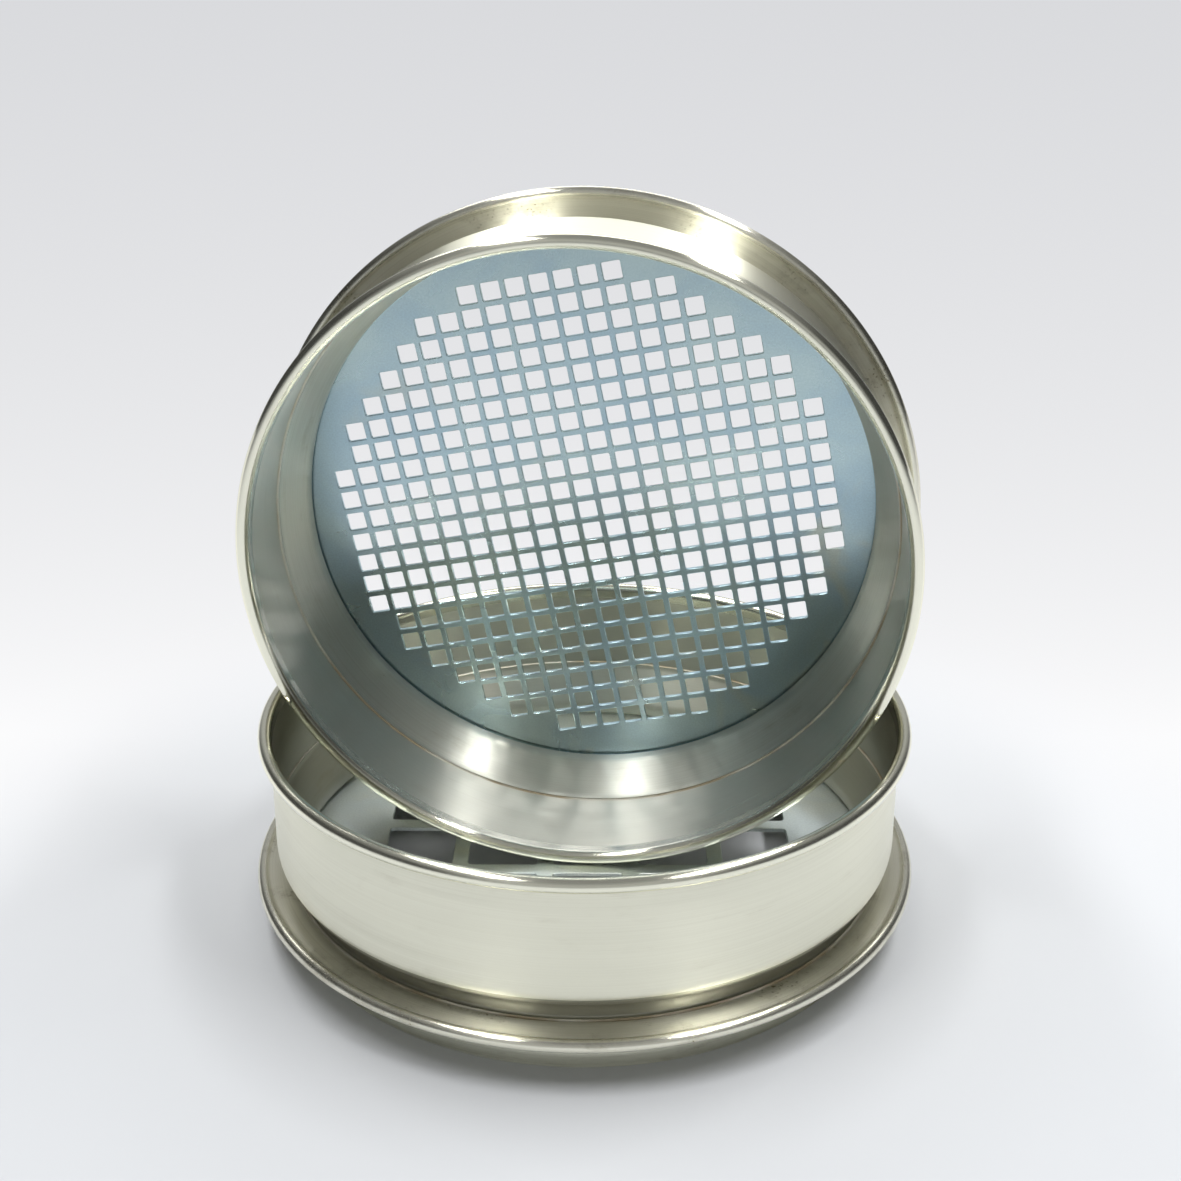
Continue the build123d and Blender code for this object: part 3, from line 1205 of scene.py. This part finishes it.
@dataclass(frozen=True)
class Studio:
    """Camera, floor, world and lamps.

    Attributes:
        camera_place: Where the camera is.
        camera_dip: Degrees that it looks down.
        camera_turn: Degrees that it is turned to the left.
        lens: Its focal length in millimetres, on a sensor 36 mm wide.
        shift: How far its frame is shifted down, as a share of the frame.
        floor_size: Width of the floor.
        floor_colour: Colour of the floor round the object.
        backdrop_near: Colour of the floor behind the object.
        backdrop_far: Colour that it fades to further back, and above the horizon.
        fade_depth: Depth over which it fades.
        world_colour: Colour of the surroundings.
        world_front: Strength of the surroundings in front and behind.
        world_side: Their strength at the sides, dark so that round metal has dark edges.
        world_top: Their strength overhead.
        lamps: The lamps.
    """

    camera_place: tuple[float, float, float] = (0.00688, -0.70986, 0.45431)
    camera_dip: float = 19.13
    camera_turn: float = 0.33
    lens: float = 49.34
    shift: float = -0.0851
    floor_size: float = 24.0
    floor_colour: str = "CFD1D4"
    backdrop_near: str = "FCFCFD"
    backdrop_far: str = "D8D9DC"
    fade_depth: float = 0.45
    world_colour: str = "E4E5E6"
    world_front: float = 0.5
    world_side: float = 0.06
    world_top: float = 0.3
    lamps: tuple[Softbox, ...] = (
        Softbox("overhead_left", (-0.46, -0.05, 1.4), (-0.1, -0.05, 0.0), 0.18, 1.3, 12.5),
        Softbox("overhead_right", (0.62, -0.05, 1.4), (0.1, -0.05, 0.0), 0.18, 1.3, 16),
        Softbox("back_top", (0.0, 1.0, 1.2), (0, 0, 0.1), 1.5, 0.5, 7),
    )

    CLEAR = (0.2, 0.4)          # distance over which the object's shadow gives way to the glow
    FAR = (0.9, 1.8)            # distance over which the whole floor turns to backdrop
    BACK = (-0.12, 0.16)        # depth over which the backdrop starts
    FADE_START = 0.66           # the fade starts this share of its depth in front of the object
    SIDES = (0.3, 0.8)          # how far aside the surroundings darken, as a direction's X
    OVERHEAD = (0.4, 0.9)       # how far up they change again, as a direction's Z

    def set_camera(self) -> None:
        """Adds the camera at the viewing angle."""
        data = bpy.data.cameras.new("camera")
        data.sensor_width, data.lens, data.shift_y = 36.0, self.lens, self.shift
        data.clip_end = 50
        camera = bpy.data.objects.new("camera", data)
        camera.location = self.camera_place
        camera.rotation_euler = (math.radians(90 - self.camera_dip), 0,
                                 math.radians(self.camera_turn))
        bpy.context.scene.collection.objects.link(camera)
        bpy.context.scene.camera = camera

    def floor_paint(self) -> Material:
        """Makes matt pale paint that turns to a glowing backdrop behind the object.

        Returns:
            The material. Its glow is seen directly and in the metal, but lights nothing.
        """
        made, tree = start_material("painted_floor")
        place = add_node(tree, "ShaderNodeTexCoord").outputs["Object"]
        depth = add_node(tree, "ShaderNodeSeparateXYZ", {"Vector": place}).outputs["Y"]
        behind = calc(tree, "ADD", depth, self.fade_depth * self.FADE_START)
        behind = calc(tree, "MAXIMUM", behind, self.fade_depth / 2)
        fade = calc(tree, "DIVIDE", self.fade_depth, behind, clamp=True)
        colour = mix_colours(tree, fade, linear(self.backdrop_far), linear(self.backdrop_near))
        away = length_of(tree, place)
        backdrop = calc(tree, "MULTIPLY", ramp(tree, away, *self.CLEAR),
                        ramp(tree, depth, *self.BACK))
        either = calc(tree, "MAXIMUM", backdrop, ramp(tree, away, *self.FAR))
        rays = add_node(tree, "ShaderNodeLightPath").outputs
        seen = calc(tree, "MULTIPLY", either, rays["Is Camera Ray"])
        mirrored = calc(tree, "MULTIPLY", backdrop, rays["Is Glossy Ray"])
        paint = add_node(tree, "ShaderNodeBsdfDiffuse", {"Color": linear(self.floor_colour)})
        glow = add_node(tree, "ShaderNodeEmission", {"Color": colour})
        surface = add_node(tree, "ShaderNodeMixShader",
                           {0: calc(tree, "MAXIMUM", seen, mirrored), 1: paint.outputs[0],
                            2: glow.outputs[0]})
        add_node(tree, "ShaderNodeOutputMaterial", {"Surface": surface.outputs[0]})
        return made

    def lay_floor(self) -> None:
        """Adds the plain pale floor."""
        half = self.floor_size / 2
        mesh = bpy.data.meshes.new("floor")
        mesh.from_pydata([(-half, -half, 0), (half, -half, 0), (half, half, 0), (-half, half, 0)],
                         [], [(0, 1, 2, 3)])
        mesh.materials.append(self.floor_paint())
        floor = bpy.data.objects.new("floor", mesh)
        bpy.context.scene.collection.objects.link(floor)

    def light_world(self) -> None:
        """Adds pale surroundings, which look like the far backdrop to the camera."""
        world = bpy.data.worlds.new("studio")
        bpy.context.scene.world = world
        world.use_nodes = True
        tree = world.node_tree
        tree.nodes.clear()
        toward = add_node(tree, "ShaderNodeTexCoord").outputs["Generated"]
        parts = add_node(tree, "ShaderNodeSeparateXYZ", {"Vector": toward}).outputs
        level = ramp(tree, calc(tree, "ABSOLUTE", parts["X"]), *self.SIDES, self.world_front,
                     self.world_side)
        strength = add_node(tree, "ShaderNodeMix",
                            {"Factor": ramp(tree, parts["Z"], *self.OVERHEAD), 2: level,
                             3: self.world_top}).outputs[0]
        around = add_node(tree, "ShaderNodeBackground",
                          {"Color": linear(self.world_colour), "Strength": strength}).outputs[0]
        seen = add_node(tree, "ShaderNodeBackground",
                        {"Color": linear(self.backdrop_far), "Strength": 1.0}).outputs[0]
        direct = add_node(tree, "ShaderNodeLightPath").outputs["Is Camera Ray"]
        both = add_node(tree, "ShaderNodeMixShader", {0: direct, 1: around, 2: seen}).outputs[0]
        add_node(tree, "ShaderNodeOutputWorld", {"Surface": both})

    def set_up(self) -> None:
        """Makes the whole studio."""
        bpy.context.scene.view_settings.view_transform = "Standard"
        self.set_camera()
        self.lay_floor()
        self.light_world()
        for lamp in self.lamps:
            lamp.hang()


# ---------------------------------------------------------------- the two sieves

FINE_HOLES = Punching(hole=9.0 * MM, pitch=11.7 * MM, corner=0.7 * MM, margin=18.6 * MM,
                      turn=11.0, shift=(-1.0 * MM, 0.0))
COARSE_HOLES = Punching(hole=34.0 * MM, pitch=41.7 * MM, corner=2.0 * MM, margin=45.5 * MM,
                        turn=0.0, shift=(1.5 * MM, -4.5 * MM))

FINISHES = Finishes(
    # Bright outside, so that it mirrors the room as one pale band; darker inside and on the neck,
    # as painted shade of the hollow.
    wall=TurnedSteel("spun_stainless_wall", "FAF9E7", "9C8F6C", "DCDBD0", 0.3, scuff=0.14,
                     scored=0.1, burnished_above=90 * MM),
    # Wholly inside the hollow, so it takes the wall's darker inside colour all over, as painted
    # shade: a shade duller than the wall's outside, so that its edge reads as a line.
    band=TurnedSteel("spun_stainless_band", "DCDBD0", "9C8F6C", "DCDBD0", 0.35, scuff=0.25,
                     scored=0.18),
    # Handled most: warm brown smudges and clustered pits, with a bright burnished bead.
    flange=TurnedSteel("spun_stainless_flange", "F2F0E0", "8F8768", "F2F0E0", 0.33, scuff=0.45,
                       scored=0.2, pit_level=0.66, burnished_beyond=156 * MM),
    # Stained and blurred, so that the foot stays quiet under the bright bead.
    skirt=TurnedSteel("spun_stainless_skirt", "F5F5E4", "A39C84", "F5F5E4", 0.38, scuff=0.4),
    # Plain grey drawn wire, glimpsed as a dark core where a roll stays open.
    wire=TurnedSteel("drawn_steel_wire", "A6A59E", "6E6A60", "A6A59E", 0.35),
    # Cool cloudy film with straw stains: the cold contrast to the warm steel round it.
    plate=BlueZinc("blue_passivated_zinc", "B6D0DC", "C6DBDC", "D8D6BE", 0.27),
    # Matt, lumpy and browned, so that each seam is a soft line and not a sharp crack.
    solder=SoftSolder("soft_tin_solder", "DAD7CA", "B3A68D"),
)
COARSE_FINISHES = replace(
    FINISHES,
    # Darker still inside, wall and band, as painted shade of the deep hollow, so that a dark
    # hollow shows behind the fine plate's holes.
    wall=replace(FINISHES.wall, name="inside_shaded_stainless_wall", inside="B3B2A4"),
    band=replace(FINISHES.band, name="shaded_stainless_band", bright="B9B8AA", inside="B9B8AA"),
    # Paler and more matt than the fine plate, with little blue left in its film.
    plate=BlueZinc("pale_passivated_zinc", "DFE9E9", "EAEFE5", "E6E4D2", 0.42),
)


def main() -> None:
    """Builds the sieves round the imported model, then the studio."""
    logging.basicConfig(level=logging.INFO, format="%(name)s: %(message)s")
    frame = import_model()
    slots = {row["node"]: row["material_slot"] for row in frame["record"]["subparts"]}
    spin, punch = spin_tree(), punch_tree()
    for name, punching, finishes in (("coarse", COARSE_HOLES, COARSE_FINISHES),
                                     ("fine", FINE_HOLES, FINISHES)):
        Sieve(name, f"{name}_sieve", punching, finishes, slots).build(spin, punch)
    Studio().set_up()


if __name__ == "__main__":
    main()
